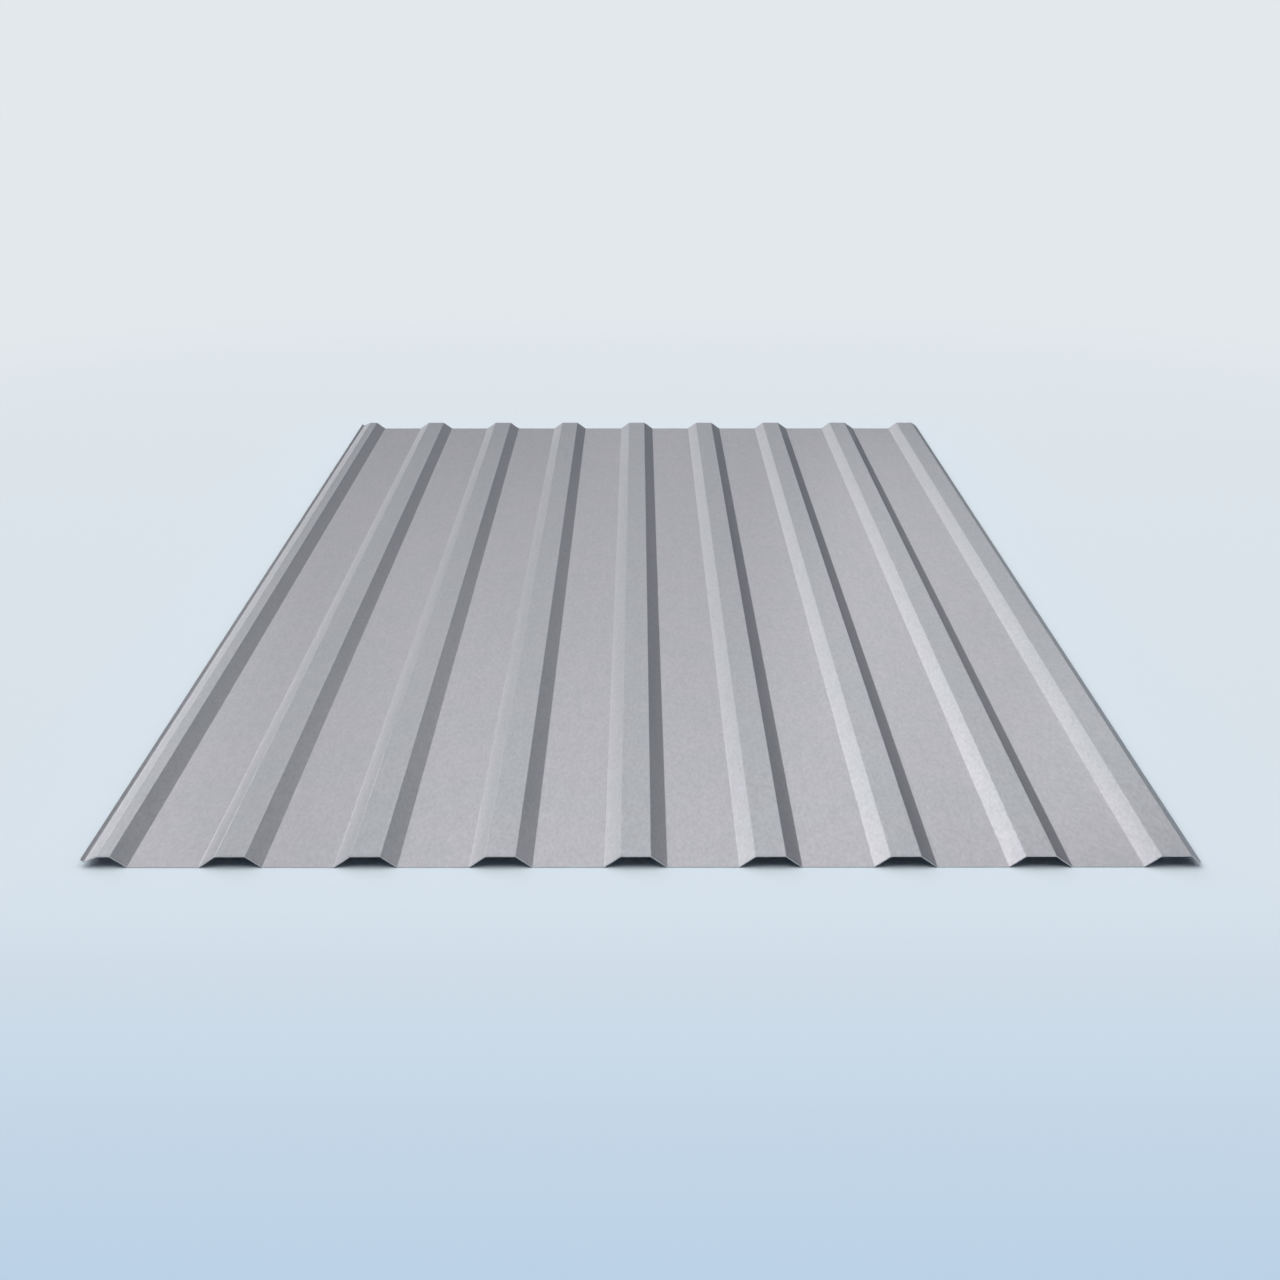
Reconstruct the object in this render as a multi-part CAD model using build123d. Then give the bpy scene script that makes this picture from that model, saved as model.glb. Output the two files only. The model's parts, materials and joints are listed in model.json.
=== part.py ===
from build123d import *
import os

# A roofing and cladding sheet with trapezoidal ribs, roll-formed from one flat strip of galvanised steel.
# It lies on its pans. X runs across the ribs, Y along them, Z up. Millimetres.
# The section is drawn as the middle line of the strip, so sizes across it are measured between middle lines.

# Whole sheet
sheet_length = 2000
sheet_gauge = 1.0

# Ribs. The pitch is from crest to crest, and the depth from the pan's middle line to the crest's.
rib_pitch = 137.5
rib_count = 9
rib_depth = 12
crest_width = 31
web_run = 16.75
bend_inner_radius = 1.5

# Underlap edge, at -X: half a crest, a shallow web down to a drip groove, and a lip turned up beyond it.
# It goes under the last rib of the next sheet.
underlap_crest_width = 13.5
underlap_web_run = 12.5
underlap_web_drop = 5.75
underlap_lip_run = 4
underlap_lip_rise = 2.5

# Overlap edge, at +X: a full crest and a lip that lies along the next sheet's web, at the same slope.
overlap_lip_run = 10
overlap_lip_drop = overlap_lip_run * rib_depth / web_run

half_crest = crest_width / 2
rib_foot = half_crest + web_run


def rib_rise(centre):
    """The two bends on the left of a rib: its foot and its crest's edge."""
    return [(centre - rib_foot, 0), (centre - half_crest, rib_depth)]


def rib_fall(centre):
    """The two bends on the right of a rib: its crest's edge and its foot."""
    return [(centre + half_crest, rib_depth), (centre + rib_foot, 0)]


def underlap_edge(centre):
    """The cut edge of the underlap lip, its drip groove and the bend where the half crest begins."""
    crest_start = centre + half_crest - underlap_crest_width
    groove = crest_start - underlap_web_run
    groove_height = rib_depth - underlap_web_drop
    lip_end = (groove - underlap_lip_run, groove_height + underlap_lip_rise)
    return [lip_end, (groove, groove_height), (crest_start, rib_depth)]


def overlap_edge(centre):
    """The far bend of the last crest and the cut edge of its lip."""
    crest_end = centre + half_crest
    return [(crest_end, rib_depth), (crest_end + overlap_lip_run, rib_depth - overlap_lip_drop)]


# Bends of the middle line, from the underlap edge to the overlap edge
rib_centres = [rib_pitch * rib for rib in range(rib_count)]
bends = underlap_edge(rib_centres[0]) + rib_fall(rib_centres[0])
for centre in rib_centres[1:-1]:
    bends += rib_rise(centre) + rib_fall(centre)
bends += rib_rise(rib_centres[-1]) + overlap_edge(rib_centres[-1])

# One strip of constant thickness follows the middle line, and the length is cut square at both ends
middle_line = FilletPolyline(*bends, radius=bend_inner_radius + sheet_gauge / 2)
section = Plane.XZ * trace(middle_line, sheet_gauge)
ribbed_sheet = extrude(section, amount=sheet_length / 2, both=True)

# The origin is under the middle of the sheet, on the plane that the pans rest on
extent = ribbed_sheet.bounding_box()
ribbed_sheet = Pos(-extent.center().X, 0, -extent.min.Z) * ribbed_sheet

os.makedirs("parts", exist_ok=True)
export_step(ribbed_sheet, "parts/ribbed_sheet.step")
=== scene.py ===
import json
import math

import bpy
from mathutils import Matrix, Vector


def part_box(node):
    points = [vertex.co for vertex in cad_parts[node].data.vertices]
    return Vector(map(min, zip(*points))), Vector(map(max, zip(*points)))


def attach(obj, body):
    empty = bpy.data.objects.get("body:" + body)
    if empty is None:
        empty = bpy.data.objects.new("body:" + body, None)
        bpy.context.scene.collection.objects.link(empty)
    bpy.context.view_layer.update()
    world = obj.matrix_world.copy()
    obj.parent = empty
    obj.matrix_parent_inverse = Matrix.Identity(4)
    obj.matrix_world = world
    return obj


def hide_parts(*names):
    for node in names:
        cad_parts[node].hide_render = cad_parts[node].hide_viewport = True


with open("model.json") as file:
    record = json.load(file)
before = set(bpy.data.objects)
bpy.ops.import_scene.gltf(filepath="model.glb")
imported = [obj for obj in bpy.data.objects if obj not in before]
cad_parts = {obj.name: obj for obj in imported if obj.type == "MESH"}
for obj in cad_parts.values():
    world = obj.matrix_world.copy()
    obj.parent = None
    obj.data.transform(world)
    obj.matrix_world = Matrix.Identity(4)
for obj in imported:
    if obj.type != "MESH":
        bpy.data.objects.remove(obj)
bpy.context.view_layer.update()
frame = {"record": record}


# The ribbed sheet
# One strip of galvanised steel, roll-formed cold into flat-topped ribs and cut square at both ends.
# Half a crest with a drip groove is its underlap edge, and a full crest with a lip its overlap edge.
pans = [mount["pos_m"] for mount in frame["record"]["mounts"] if mount["name"].startswith("pan_")]
sheet_low, sheet_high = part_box("ribbed_sheet")
sheet_gauge = 0.001
crest_width = 0.031
web_run = 0.01675
bend_inner_radius = 0.0015
sheet_sizes = {
    "Sheet Length": sheet_high.y - sheet_low.y,
    "Gauge": sheet_gauge,
    "Rib Pitch": (pans[-1][0] - pans[0][0]) / (len(pans) - 1),
    "Rib Count": len(pans) + 1,
    "Rib Depth": sheet_high.z - sheet_low.z - sheet_gauge,
    "Crest Width": crest_width,
    "Web Run": web_run,
    "Bend Radius": bend_inner_radius + sheet_gauge / 2,
    "Bend Steps": 6,
    "Underlap Crest": 0.0135,
    "Underlap Web Run": 0.0125,
    "Underlap Web Drop": 0.00575,
    "Underlap Lip Run": 0.004,
    "Underlap Lip Rise": 0.0025,
    "Overlap Lip Run": 0.010,
}


def node(tree, kind, inputs=(), **settings):
    """A node with its settings and inputs. An input that is a socket is linked, and any other is a value."""
    made = tree.nodes.new(kind)
    for name, value in settings.items():
        setattr(made, name, value)
    for key, value in dict(inputs).items():
        if isinstance(value, bpy.types.NodeSocket):
            tree.links.new(value, made.inputs[key])
        else:
            made.inputs[key].default_value = value
    return made


def calc(tree, operation, *terms):
    """The result of one sum on sockets or plain numbers."""
    return node(tree, "ShaderNodeMath", enumerate(terms), operation=operation).outputs[0]


def section_bends(tree, size):
    """The place of each bend of the strip's middle line, from the underlap edge on, in the plane Y = 0."""
    index = node(tree, "GeometryNodeInputIndex").outputs[0]
    half_crest = calc(tree, "DIVIDE", size["Crest Width"], 2)
    depth = size["Rib Depth"]

    # Four bends to a rib: left foot, left edge of the crest, right edge of the crest, right foot
    bend = calc(tree, "SUBTRACT", index, 1)
    rib = calc(tree, "FLOOR", calc(tree, "DIVIDE", bend, 4))
    corner = calc(tree, "SUBTRACT", bend, calc(tree, "MULTIPLY", rib, 4))
    from_middle = calc(tree, "SUBTRACT", corner, 1.5)
    side = calc(tree, "SIGN", from_middle)
    on_foot = calc(tree, "GREATER_THAN", calc(tree, "ABSOLUTE", from_middle), 1)
    reach = calc(tree, "MULTIPLY_ADD", on_foot, size["Web Run"], half_crest)
    rib_x = calc(tree, "MULTIPLY_ADD", rib, size["Rib Pitch"], calc(tree, "MULTIPLY", side, reach))
    rib_z = calc(tree, "MULTIPLY", calc(tree, "SUBTRACT", 1, on_foot), depth)

    # Underlap edge: the lip's cut edge, the drip groove and the start of the half crest
    start_x = calc(tree, "SUBTRACT", half_crest, size["Underlap Crest"])
    groove_x = calc(tree, "SUBTRACT", start_x, size["Underlap Web Run"])
    groove_z = calc(tree, "SUBTRACT", depth, size["Underlap Web Drop"])
    lip_x = calc(tree, "SUBTRACT", groove_x, size["Underlap Lip Run"])
    lip_z = calc(tree, "ADD", groove_z, size["Underlap Lip Rise"])

    # Overlap edge: the lip falls at the slope of the webs
    last_rib = calc(tree, "SUBTRACT", size["Rib Count"], 1)
    last_crest_x = calc(tree, "MULTIPLY_ADD", last_rib, size["Rib Pitch"], half_crest)
    overlap_x = calc(tree, "ADD", last_crest_x, size["Overlap Lip Run"])
    slope = calc(tree, "DIVIDE", depth, size["Web Run"])
    overlap_drop = calc(tree, "MULTIPLY", size["Overlap Lip Run"], slope)
    overlap_z = calc(tree, "SUBTRACT", depth, overlap_drop)
    last_bend = calc(tree, "MULTIPLY", size["Rib Count"], 4)
    at_last = calc(tree, "COMPARE", index, last_bend, 0.5)

    places = []
    for edge, on_rib, at_end in (
        ((lip_x, groove_x, start_x), rib_x, overlap_x),
        ((lip_z, groove_z, depth), rib_z, overlap_z),
    ):
        chosen = node(tree, "GeometryNodeIndexSwitch", data_type="FLOAT")
        while len(chosen.index_switch_items) < 4:
            chosen.index_switch_items.new()
        tree.links.new(calc(tree, "MINIMUM", index, 3), chosen.inputs[0])
        for item, value in enumerate((*edge, on_rib), start=1):
            tree.links.new(value, chosen.inputs[item])
        ends = {"Switch": at_last, "False": chosen.outputs[0], "True": at_end}
        places.append(node(tree, "GeometryNodeSwitch", ends, input_type="FLOAT").outputs[0])
    return node(tree, "ShaderNodeCombineXYZ", {"X": places[0], "Z": places[1]}).outputs[0]


def forming_tree(name, sizes):
    """The tree that forms the sheet: its bends are rounded, drawn out to length and given their gauge."""
    tree = bpy.data.node_groups.new(name, "GeometryNodeTree")
    tree.is_modifier = True
    for size, value in sizes.items():
        kind = "NodeSocketInt" if isinstance(value, int) else "NodeSocketFloat"
        tree.interface.new_socket(size, in_out="INPUT", socket_type=kind)
    for finish in ("Zinc Finish", "Cut Finish"):
        tree.interface.new_socket(finish, in_out="INPUT", socket_type="NodeSocketMaterial")
    tree.interface.new_socket("Sheet", in_out="OUTPUT", socket_type="NodeSocketGeometry")
    size = node(tree, "NodeGroupInput").outputs

    # The middle line of the strip, with its bends rounded
    bend_count = calc(tree, "MULTIPLY_ADD", size["Rib Count"], 4, 1)
    marks = node(tree, "GeometryNodeMeshLine", {"Count": bend_count})
    sharp = node(tree, "GeometryNodeMeshToCurve", {"Mesh": marks.outputs[0]})
    placed = {"Geometry": sharp.outputs[0], "Position": section_bends(tree, size)}
    laid = node(tree, "GeometryNodeSetPosition", placed)
    rounding = {"Curve": laid.outputs[0], "Radius": size["Bend Radius"], "Count": size["Bend Steps"]}
    rounded = node(tree, "GeometryNodeFilletCurve", rounding, mode="POLY")
    line = node(tree, "GeometryNodeCurveToMesh", {"Curve": rounded.outputs[0]})

    # Drawn out along the ribs
    along = node(tree, "ShaderNodeCombineXYZ", {"Y": size["Sheet Length"]})
    drawn = node(
        tree, "GeometryNodeExtrudeMesh", {"Mesh": line.outputs[0], "Offset": along.outputs[0]}, mode="EDGES"
    )

    # Its gauge: a second face on the other side, and the cut edges between the two
    thick = node(
        tree,
        "GeometryNodeExtrudeMesh",
        {"Mesh": drawn.outputs[0], "Offset Scale": size["Gauge"], "Individual": False},
        mode="FACES",
    )
    turned = node(tree, "GeometryNodeFlipFaces", {"Mesh": drawn.outputs[0]})
    both = node(tree, "GeometryNodeJoinGeometry")
    tree.links.new(turned.outputs[0], both.inputs[0])
    tree.links.new(thick.outputs[0], both.inputs[0])
    closed = node(tree, "GeometryNodeMergeByDistance", {"Geometry": both.outputs[0], "Distance": 1e-6})

    # Bends are shaded round and the flats flat, and the cut edges are sharp
    bend_face = calc(tree, "MULTIPLY", size["Sheet Length"], size["Gauge"])
    area = node(tree, "GeometryNodeInputMeshFaceArea").outputs[0]
    on_bend = calc(tree, "LESS_THAN", area, bend_face)
    bent = node(tree, "GeometryNodeSetShadeSmooth", {"Geometry": closed.outputs[0], "Shade Smooth": on_bend})
    keen = {"Geometry": bent.outputs[0], "Selection": thick.outputs["Side"], "Shade Smooth": False}
    shaded = node(tree, "GeometryNodeSetShadeSmooth", keen, domain="EDGE")

    # Set down with its middle over the origin and its pans on the floor
    extent = node(tree, "GeometryNodeBoundBox", {"Geometry": shaded.outputs[0]})
    low = node(tree, "ShaderNodeSeparateXYZ", {"Vector": extent.outputs["Min"]}).outputs
    high = node(tree, "ShaderNodeSeparateXYZ", {"Vector": extent.outputs["Max"]}).outputs
    shift = {
        "X": calc(tree, "DIVIDE", calc(tree, "ADD", low["X"], high["X"]), -2),
        "Y": calc(tree, "DIVIDE", calc(tree, "ADD", low["Y"], high["Y"]), -2),
        "Z": calc(tree, "MULTIPLY", low["Z"], -1),
    }
    offset = node(tree, "ShaderNodeCombineXYZ", shift).outputs[0]
    down = node(tree, "GeometryNodeSetPosition", {"Geometry": shaded.outputs[0], "Offset": offset})

    whole = node(tree, "GeometryNodeRealizeInstances", {"Geometry": down.outputs[0]})
    coated = node(
        tree, "GeometryNodeSetMaterial", {"Geometry": whole.outputs[0], "Material": size["Zinc Finish"]}
    )
    cut = {"Geometry": coated.outputs[0], "Selection": thick.outputs["Side"], "Material": size["Cut Finish"]}
    finished = node(tree, "GeometryNodeSetMaterial", cut)
    node(tree, "NodeGroupOutput", {"Sheet": finished.outputs[0]})
    return tree


def mottle_group(name):
    """A shader group that gives a shade near 1, lighter and darker in grains of a given size."""
    group = bpy.data.node_groups.new(name, "ShaderNodeTree")
    group.interface.new_socket("Place", in_out="INPUT", socket_type="NodeSocketVector")
    group.interface.new_socket("Grain Size", in_out="INPUT", socket_type="NodeSocketFloat")
    group.interface.new_socket("Contrast", in_out="INPUT", socket_type="NodeSocketFloat")
    group.interface.new_socket("Shade", in_out="OUTPUT", socket_type="NodeSocketFloat")
    given = node(group, "NodeGroupInput").outputs
    scale = calc(group, "DIVIDE", 1, given["Grain Size"])
    grains = {"Vector": given["Place"], "Scale": scale, "Detail": 2.0, "Roughness": 0.6}
    noise = node(group, "ShaderNodeTexNoise", grains).outputs["Fac"]
    spread = {
        "Value": noise,
        "From Min": 0.28,
        "From Max": 0.72,
        "To Min": calc(group, "SUBTRACT", 1, given["Contrast"]),
        "To Max": calc(group, "ADD", 1, given["Contrast"]),
    }
    node(group, "NodeGroupOutput", {"Shade": node(group, "ShaderNodeMapRange", spread).outputs[0]})
    return group


def mottled(tree, group, place, grain_size, contrast):
    """The shade of the mottle group, placed in a material with its own grain and contrast."""
    placed = tree.nodes.new("ShaderNodeGroup")
    placed.node_tree = group
    tree.links.new(place, placed.inputs["Place"])
    placed.inputs["Grain Size"].default_value = grain_size
    placed.inputs["Contrast"].default_value = contrast
    return placed.outputs["Shade"]


def two_tones(tree, value, low, low_colour, high, high_colour):
    """A colour that goes from one tone to another as a value goes from low to high."""
    ramp = node(tree, "ShaderNodeValToRGB", {"Fac": value})
    for stop, place, colour in zip(ramp.color_ramp.elements, (low, high), (low_colour, high_colour)):
        stop.position = place
        stop.color = (*colour, 1)
    return ramp.outputs["Color"]


def times(tree, *factors):
    """The product of colours and shades."""
    product = factors[0]
    for factor in factors[1:]:
        pair = {0: product, 1: factor}
        product = node(tree, "ShaderNodeVectorMath", pair, operation="MULTIPLY").outputs[0]
    return product


def zinc_finish(name, mottle, crest_height, crest_fade):
    """Hot-dip zinc, satin, with a fine grain, faint spangle and streaks, and crests a little darker and
    cooler.
    """
    cloud_shade = (0.380, 0.378, 0.394)
    cloud_light = (0.389, 0.378, 0.400)
    crest_tone = (0.915, 0.943, 0.940)
    satin_roughness = 0.36
    material = bpy.data.materials.new(name)
    material.use_nodes = True
    tree = material.node_tree
    shader = tree.nodes["Principled BSDF"]
    shader.inputs["Metallic"].default_value = 1.0
    place = node(tree, "ShaderNodeTexCoord").outputs["Object"]

    # Cloudy tints a hand's breadth wide
    cloud = node(tree, "ShaderNodeTexNoise", {"Vector": place, "Scale": 9.0, "Detail": 4.0}).outputs["Fac"]
    tint = two_tones(tree, cloud, 0.38, cloud_shade, 0.62, cloud_light)

    # Webs and crests a little darker and cooler the higher they stand, and the crests most
    height = node(tree, "ShaderNodeSeparateXYZ", {"Vector": place}).outputs["Z"]
    above = {"Value": height, "From Min": crest_height - crest_fade, "From Max": crest_height}
    on_crest = node(tree, "ShaderNodeMapRange", above).outputs[0]
    raised_tone = two_tones(tree, on_crest, 0.0, (1, 1, 1), 1.0, crest_tone)

    # Spangle: the zinc's crystals, each a shade of its own
    crystals = node(tree, "ShaderNodeTexVoronoi", {"Vector": place, "Scale": 170.0})
    crystal = node(tree, "ShaderNodeSeparateColor", {"Color": crystals.outputs["Color"]}).outputs["Red"]
    shades = {"Value": crystal, "To Min": 0.985, "To Max": 1.015}
    spangle = node(tree, "ShaderNodeMapRange", shades).outputs[0]

    # Streaks drawn out along the ribs by the rolls
    drawn = node(tree, "ShaderNodeMapping", {"Vector": place, "Scale": (1, 0.012, 1)}).outputs[0]
    streak = mottled(tree, mottle, drawn, grain_size=0.006, contrast=0.012)

    # Grain and blotches of the skin, a little longer along the ribs
    stretched = node(tree, "ShaderNodeMapping", {"Vector": place, "Scale": (1, 0.32, 1)}).outputs[0]
    grain = mottled(tree, mottle, stretched, grain_size=0.0030, contrast=0.064)
    blotch = mottled(tree, mottle, stretched, grain_size=0.012, contrast=0.030)
    tree.links.new(times(tree, tint, raised_tone, spangle, streak, grain, blotch), shader.inputs["Base Color"])

    # Satin all over, and a little glossier where the grain is lighter
    dullness = calc(tree, "MULTIPLY", calc(tree, "MULTIPLY", streak, spangle), satin_roughness)
    tree.links.new(calc(tree, "DIVIDE", dullness, grain), shader.inputs["Roughness"])

    # The grain also stands up a little from the skin
    skin = {"Height": grain, "Strength": 0.25, "Distance": 0.0002}
    tree.links.new(node(tree, "ShaderNodeBump", skin).outputs[0], shader.inputs["Normal"])
    return material


def cut_finish(name, mottle):
    """Bare steel where the shear went through, with fine drag marks down through the gauge."""
    material = bpy.data.materials.new(name)
    material.use_nodes = True
    tree = material.node_tree
    shader = tree.nodes["Principled BSDF"]
    shader.inputs["Metallic"].default_value = 1.0
    shader.inputs["Roughness"].default_value = 0.5
    place = node(tree, "ShaderNodeTexCoord").outputs["Object"]
    down = node(tree, "ShaderNodeMapping", {"Vector": place, "Scale": (1, 1, 0.1)}).outputs[0]
    drag = mottled(tree, mottle, down, grain_size=0.0012, contrast=0.16)
    blotch = node(tree, "ShaderNodeTexNoise", {"Vector": place, "Scale": 40.0, "Detail": 2.0}).outputs["Fac"]
    steel = two_tones(tree, blotch, 0.35, (0.50, 0.50, 0.51), 0.65, (0.56, 0.56, 0.575))
    tree.links.new(times(tree, steel, drag), shader.inputs["Base Color"])
    return material


def formed(name, tree, values):
    """The plain mesh that a forming tree gives with these values, as an object at the origin."""
    piece = bpy.data.objects.new(name, bpy.data.meshes.new(name))
    bpy.context.scene.collection.objects.link(piece)
    former = piece.modifiers.new("forming", "NODES")
    former.node_group = tree
    for socket in tree.interface.items_tree:
        if socket.in_out == "INPUT":
            former[socket.identifier] = values[socket.name]
    graph = bpy.context.evaluated_depsgraph_get()
    mesh = bpy.data.meshes.new_from_object(piece.evaluated_get(graph))
    piece.modifiers.remove(former)
    piece.data = mesh
    return piece


mottle = mottle_group("mottle")
crest_skin = sheet_high.z - 1.1 * sheet_gauge
sheet_finishes = {
    "Zinc Finish": zinc_finish("zinc", mottle, crest_height=crest_skin, crest_fade=0.0105),
    "Cut Finish": cut_finish("cut_steel", mottle),
}
sheet = formed("galvanised_sheet", forming_tree("sheet_forming", sheet_sizes), sheet_sizes | sheet_finishes)
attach(sheet, "root")
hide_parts("ribbed_sheet")


# The floor
# A plain pale surface, level and matt, that the sheet lies on. Away from the sheet it fades into
# an even pale backdrop, and far off it sweeps up in front and at the sides, for the sheet to mirror.
floor_rings = ((3.0, 0.0), (40.0, 0.0), (100.0, 80.0))
floor_sides = 64
floor_fade = 0.22
blue_front = -1.8
blue_back = 4.2
blue_near = 0.65
blue_far = 1.8
backdrop_tone = (0.77, 0.81, 0.84)
floor_tones = ((0.03, (0.50, 0.64, 0.79)), (0.13, (0.69, 0.76, 0.82)), (1.0, backdrop_tone))
corners = []
# The last ring rises in front and at the sides, and stays level behind
for reach, rise in floor_rings:
    for side in range(floor_sides):
        turn = math.tau * side / floor_sides
        corners.append((reach * math.cos(turn), reach * math.sin(turn), rise * max(0, 0.5 - math.sin(turn))))
panels = [range(floor_sides)]
for ring in range(len(floor_rings) - 1):
    inner, outer = floor_sides * ring, floor_sides * (ring + 1)
    for side in range(floor_sides):
        after = (side + 1) % floor_sides
        panels.append((inner + side, outer + side, outer + after, inner + after))
floor_mesh = bpy.data.meshes.new("floor")
floor_mesh.from_pydata(corners, [], panels)
floor = bpy.data.objects.new("floor", floor_mesh)
bpy.context.scene.collection.objects.link(floor)


def floor_paint(name):
    """Matt pale paint, a little bluer before the sheet, that fades into an even backdrop."""
    material = bpy.data.materials.new(name)
    material.use_nodes = True
    tree = material.node_tree
    shader = tree.nodes["Principled BSDF"]
    shader.inputs["Roughness"].default_value = 0.9
    shader.inputs["Specular IOR Level"].default_value = 0.2

    # How far a place is from the sheet's outline
    place = node(tree, "ShaderNodeTexCoord").outputs["Object"]
    aside = node(tree, "ShaderNodeVectorMath", {0: place}, operation="ABSOLUTE").outputs[0]
    beyond = node(tree, "ShaderNodeVectorMath", {0: aside, 1: sheet_high}, operation="SUBTRACT").outputs[0]
    outside = node(tree, "ShaderNodeVectorMath", {0: beyond, 1: (0, 0, 0)}, operation="MAXIMUM").outputs[0]
    away = node(tree, "ShaderNodeVectorMath", {0: outside}, operation="LENGTH").outputs["Value"]

    # Deeper blue in front of the sheet, and the backdrop's tone all round it
    along = node(tree, "ShaderNodeSeparateXYZ", {"Vector": place}).outputs["Y"]
    span = {"Value": along, "From Min": blue_front, "From Max": blue_back}
    back = node(tree, "ShaderNodeMapRange", span).outputs[0]
    blue = node(tree, "ShaderNodeValToRGB", {"Fac": back})
    blue.color_ramp.elements.new(floor_tones[1][0])
    for stop, (position, colour) in zip(blue.color_ramp.elements, floor_tones):
        stop.position = position
        stop.color = (*colour, 1)
    leaving = {"Value": away, "From Min": blue_near, "From Max": blue_far}
    far = node(tree, "ShaderNodeMapRange", leaving, interpolation_type="SMOOTHSTEP").outputs[0]
    # A colour mix has its two colours in sockets 6 and 7
    blend = {0: far, 6: blue.outputs["Color"], 7: (*backdrop_tone, 1)}
    tone = node(tree, "ShaderNodeMix", blend, data_type="RGBA").outputs[2]
    tree.links.new(tone, shader.inputs["Base Color"])

    # Away from the sheet, what is seen or mirrored is the backdrop's own even tone
    distance = {"Value": away, "From Max": floor_fade}
    fade = node(tree, "ShaderNodeMapRange", distance, interpolation_type="SMOOTHSTEP").outputs[0]
    ray = node(tree, "ShaderNodeLightPath").outputs
    mirrored = calc(tree, "MAXIMUM", ray["Is Glossy Ray"], ray["Is Transmission Ray"])
    seen = calc(tree, "MAXIMUM", ray["Is Camera Ray"], mirrored)
    backdrop = node(tree, "ShaderNodeEmission", {"Color": tone})
    mixed = {0: calc(tree, "MULTIPLY", fade, seen), 1: shader.outputs[0], 2: backdrop.outputs[0]}
    paint = node(tree, "ShaderNodeMixShader", mixed)
    tree.links.new(paint.outputs[0], tree.nodes["Material Output"].inputs["Surface"])
    return material


floor_mesh.materials.append(floor_paint("floor_paint"))
floor.visible_diffuse = False


# The light
# A soft glow from overhead, broad daylight from high on the left, and weaker daylight from the right
# and behind. Soft lamps hang behind the sheet and over its right side, and light the sheet alone.
# There is none in front, so the mouths of the flutes stay dark.
def soft_sun(name, azimuth, elevation, width, strength):
    """Soft light from far off, as wide as an angle. Azimuth 0 is behind the sheet and 90 on its right."""
    turn, rise = math.radians(azimuth), math.radians(elevation)
    source = Vector((math.cos(rise) * math.sin(turn), math.cos(rise) * math.cos(turn), math.sin(rise)))
    light = bpy.data.lights.new(name, "SUN")
    light.angle = math.radians(width)
    light.energy = strength
    sun = bpy.data.objects.new(name, light)
    sun.rotation_mode = "QUATERNION"
    sun.rotation_quaternion = source.to_track_quat("Z", "Y")
    bpy.context.scene.collection.objects.link(sun)


def soft_lamp(name, place, aim, width, depth, watts):
    """A rectangular soft lamp that points at a place on the sheet, and lights the sheet alone."""
    light = bpy.data.lights.new(name, "AREA")
    light.shape = "RECTANGLE"
    light.size = width
    light.size_y = depth
    light.energy = watts
    lamp = bpy.data.objects.new(name, light)
    lamp.location = place
    lamp.rotation_mode = "QUATERNION"
    lamp.rotation_quaternion = (Vector(aim) - Vector(place)).to_track_quat("-Z", "Y")
    lamp.visible_camera = False
    lamp.light_linking.receiver_collection = lamp_lit
    bpy.context.scene.collection.objects.link(lamp)


lamp_lit = bpy.data.collections.new("lamp_lit")
lamp_lit.objects.link(sheet)

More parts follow.
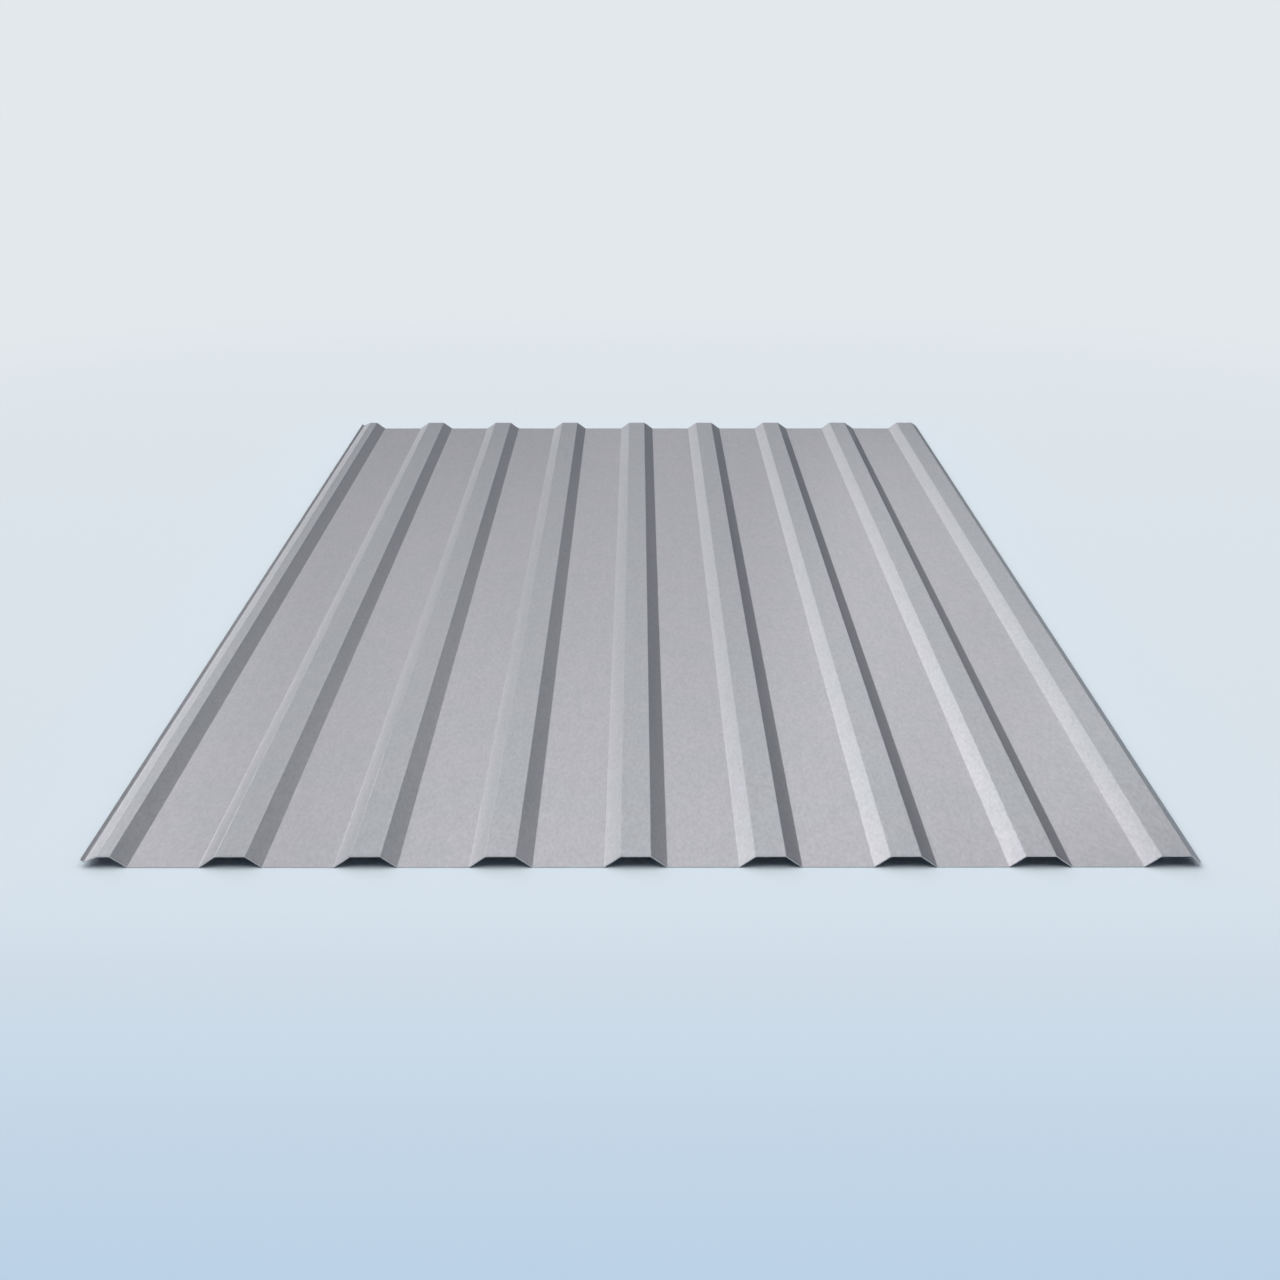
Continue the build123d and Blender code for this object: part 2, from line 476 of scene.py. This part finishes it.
wall_tone = (0.0085, 0.025, 0.053)
ceiling_tone = (0.84, 0.86, 0.86)
ceiling_strength = 1.1
room = bpy.data.worlds.new("room")
room.use_nodes = True
direction = node(room.node_tree, "ShaderNodeTexCoord").outputs["Generated"]
upward = node(room.node_tree, "ShaderNodeSeparateXYZ", {"Vector": direction}).outputs["Z"]
ceiling = {"Value": upward, "From Min": 0.6, "From Max": 0.95}
glow = node(room.node_tree, "ShaderNodeMapRange", ceiling, interpolation_type="SMOOTHSTEP").outputs[0]
sky = two_tones(room.node_tree, glow, 0.0, wall_tone, 1.0, ceiling_tone)
background = room.node_tree.nodes["Background"]
background.inputs["Strength"].default_value = ceiling_strength
room.node_tree.links.new(sky, background.inputs["Color"])
beyond_floor = node(room.node_tree, "ShaderNodeBackground", {"Color": (*backdrop_tone, 1)}).outputs[0]
looked_at = node(room.node_tree, "ShaderNodeLightPath").outputs["Is Camera Ray"]
shown = {0: looked_at, 1: background.outputs[0], 2: beyond_floor}
around = node(room.node_tree, "ShaderNodeMixShader", shown).outputs[0]
room.node_tree.links.new(around, room.node_tree.nodes["World Output"].inputs["Surface"])
bpy.context.scene.world = room

soft_sun("left_daylight", azimuth=-90, elevation=60, width=60, strength=1.37)
soft_sun("right_daylight", azimuth=85, elevation=42, width=60, strength=0.55)
soft_sun("back_left_daylight", azimuth=-34, elevation=20, width=27, strength=0.475)
soft_sun("back_daylight", azimuth=-3, elevation=40, width=29, strength=0.32)
soft_sun("low_daylight", azimuth=-17, elevation=16, width=11, strength=0.058)
soft_lamp("back_lamp", place=(-0.2, 3.53, 1.7), aim=(-0.1, 0, 0), width=1.82, depth=1.6, watts=5.7)
soft_lamp("back_right_lamp", place=(0.87, 2.42, 1.28), aim=(0.43, 0, 0), width=0.74, depth=1.58, watts=3.4)
soft_lamp("right_lamp", place=(1.29, 1.0, 0.88), aim=(0.64, 0, 0), width=0.89, depth=0.77, watts=2.8)
soft_lamp("low_lamp", place=(0.23, 4.13, 0.59), aim=(0.12, 0, 0), width=0.9, depth=0.2, watts=0.52)


# The camera
# It stands in front of the sheet's cut end, near the middle, and looks down along the ribs.
picture_width = 1280
focal_length_pixels = 1808
eye_height = 0.8324
eye_back = 1.658
eye_aside = -0.00284
look_down = math.radians(19.48)
look_right = math.radians(0.068)
camera = bpy.data.cameras.new("camera")
camera.sensor_width = 36
camera.lens = camera.sensor_width * focal_length_pixels / picture_width
eye = bpy.data.objects.new("camera", camera)
eye.location = (eye_aside, sheet_low.y - eye_back, eye_height)
eye.rotation_euler = (math.pi / 2 - look_down, 0, -look_right)
bpy.context.scene.collection.objects.link(eye)
bpy.context.scene.camera = eye
bpy.context.scene.view_settings.view_transform = "Standard"
